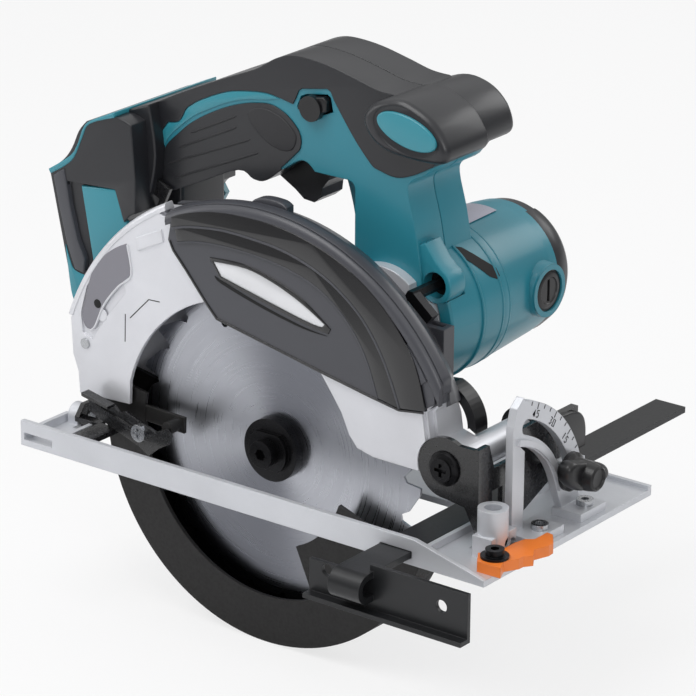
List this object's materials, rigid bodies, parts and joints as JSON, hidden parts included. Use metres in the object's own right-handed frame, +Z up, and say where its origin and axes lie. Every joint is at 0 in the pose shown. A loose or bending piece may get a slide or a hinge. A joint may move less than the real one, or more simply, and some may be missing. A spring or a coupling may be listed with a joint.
{
  "type": "cordless circular saw",
  "caption": "Cordless circular saw with a tilting base, retracting lower guard, top handle with trigger, battery foot, side motor and a sliding rip fence.",
  "frame": {"origin": "on the underside of the base plate (the sole), straight under the arbor, in the middle plane of the blade", "axes": "+X the way the saw cuts, +Y from the blade towards the motor, +Z up from the sole"},
  "size_m": [0.2966, 0.262, 0.2798],
  "materials": {
    "cast": "satin cast",
    "cover": "satin moulded",
    "black_steel": "gloss black",
    "guard": "black coated casting",
    "screw_black": "blackened",
    "screw_steel": "zinc plated",
    "blade_steel": "turned and polished",
    "ground_steel": "ground",
    "bearing_steel": "ground and polished",
    "gear_steel": "oiled",
    "housing_teal": "satin moulded",
    "trim_teal": "satin moulded",
    "shell_black": "satin moulded",
    "soft_grey": "stippled soft grip",
    "black_plastic": "satin moulded",
    "label": "printed plate, left bare",
    "orange": "satin moulded",
    "lamination": "laminated",
    "copper": "turned copper",
    "contact_block": "moulded"
  },
  "bodies": {
    "base": {"base_plate": "cast", "bevel_sector": "cast", "sector_screws": "screw_steel", "top_guide": "orange", "guide_screw": "screw_black", "stop_screw": "screw_black", "bevel_pins": "screw_steel"},
    "tilt_frame": {"front_bracket": "black_steel", "rear_bracket": "black_steel", "depth_guide": "black_steel", "pivot_screw": "screw_black", "bevel_bolt": "screw_steel"},
    "bevel_knob": {"bevel_knob": "black_plastic"},
    "rip_fence": {"rip_fence": "black_steel"},
    "fence_clamp": {"fence_clamp": "black_steel"},
    "saw_body": {"blade_case": "cast", "case_cover": "cover", "case_screws": "screw_steel", "chip_shield": "black_plastic", "gear_housing": "cast", "motor_housing": "housing_teal", "motor_end_cap": "shell_black", "brush_caps": "black_plastic", "rating_plate": "label", "stator": "lamination", "handle_right": "shell_black", "handle_left": "shell_black", "grip_pads": "soft_grey", "knob_inserts": "trim_teal", "side_panels": "trim_teal", "battery_rails": "contact_block", "terminal_block": "contact_block", "switch": "black_plastic", "hex_key": "screw_black", "arbor_bearing": "bearing_steel", "motor_bearings": "bearing_steel", "guard_spring": "screw_steel", "depth_bolt": "screw_steel"},
    "depth_lever": {"depth_lever": "black_plastic"},
    "spindle": {"spindle": "ground_steel", "inner_flange": "screw_steel", "blade": "blade_steel", "outer_flange": "screw_black", "blade_bolt": "screw_black"},
    "idler": {"idler_gear": "gear_steel"},
    "rotor": {"rotor_shaft": "ground_steel", "rotor_core": "lamination", "commutator": "copper", "cooling_fan": "black_plastic"},
    "guard": {"lower_guard": "guard", "guard_lever": "black_steel", "lever_screw": "screw_steel"},
    "trigger": {"trigger": "black_plastic"},
    "lock_off": {"lock_off": "black_plastic"},
    "shaft_lock": {"shaft_lock": "black_plastic"}
  },
  "joints": [
    {"name": "bevel_tilt", "type": "hinge", "parent": "base", "child": "tilt_frame", "pos_m": [0, -0.006, 0.006], "axis": [1, 0, 0], "range_deg": [0, 50]},
    {"name": "bevel_knob_turn", "type": "hinge", "parent": "tilt_frame", "child": "bevel_knob", "pos_m": [0.14, 0.04255, 0.02464], "axis": [1, 0, 0], "range_deg": [-25, 90]},
    {"name": "fence_slide", "type": "slide", "parent": "base", "child": "rip_fence", "axis": [0, 1, 0], "range_m": [-0.09, 0.0245]},
    {"name": "fence_clamp_turn", "type": "hinge", "parent": "base", "child": "fence_clamp", "pos_m": [0.099, 0.076, 0.02], "axis": [0, 0, 1], "range_deg": [0, 180]},
    {"name": "depth_swing", "type": "hinge", "parent": "tilt_frame", "child": "saw_body", "pos_m": [0.105, 0, 0.0365], "axis": [0, 1, 0], "range_deg": [0, 27]},
    {"name": "depth_lever_turn", "type": "hinge", "parent": "saw_body", "child": "depth_lever", "pos_m": [-0.10036, 0.018, 0.02034], "axis": [0, 1, 0], "range_deg": [0, 45]},
    {"name": "spindle_spin", "type": "hinge", "parent": "saw_body", "child": "spindle", "pos_m": [0, 0, 0.0165], "axis": [0, 1, 0], "continuous": true},
    {"name": "idler_spin", "type": "hinge", "parent": "saw_body", "child": "idler", "pos_m": [0.02679, 0.02, 0.0542], "axis": [0, 1, 0], "continuous": true},
    {"name": "rotor_spin", "type": "hinge", "parent": "saw_body", "child": "rotor", "pos_m": [0.04996, 0.06, 0.0868], "axis": [0, 1, 0], "continuous": true},
    {"name": "guard_swing", "type": "hinge", "parent": "saw_body", "child": "guard", "pos_m": [0, 0, 0.0165], "axis": [0, 1, 0], "range_deg": [0, 115], "stiffness_Nm_per_rad": 0.12, "springref_deg": -68.75},
    {"name": "trigger_pull", "type": "slide", "parent": "saw_body", "child": "trigger", "axis": [-0.3899, 0, 0.9208], "range_m": [0, 0.005], "stiffness_N_per_m": 600, "springref_m": -0.003},
    {"name": "lock_off_push", "type": "slide", "parent": "saw_body", "child": "lock_off", "axis": [0, 1, 0], "range_m": [-0.003, 0.003], "stiffness_N_per_m": 400},
    {"name": "shaft_lock_push", "type": "slide", "parent": "saw_body", "child": "shaft_lock", "axis": [0, -1, 0], "range_m": [0, 0.0018], "stiffness_N_per_m": 400, "springref_m": -0.002}
  ],
  "couplings": [
    {"joint": "idler_spin", "follows": "spindle_spin", "ratio": -0.37037},
    {"joint": "rotor_spin", "follows": "spindle_spin", "ratio": 3.3333}
  ]
}
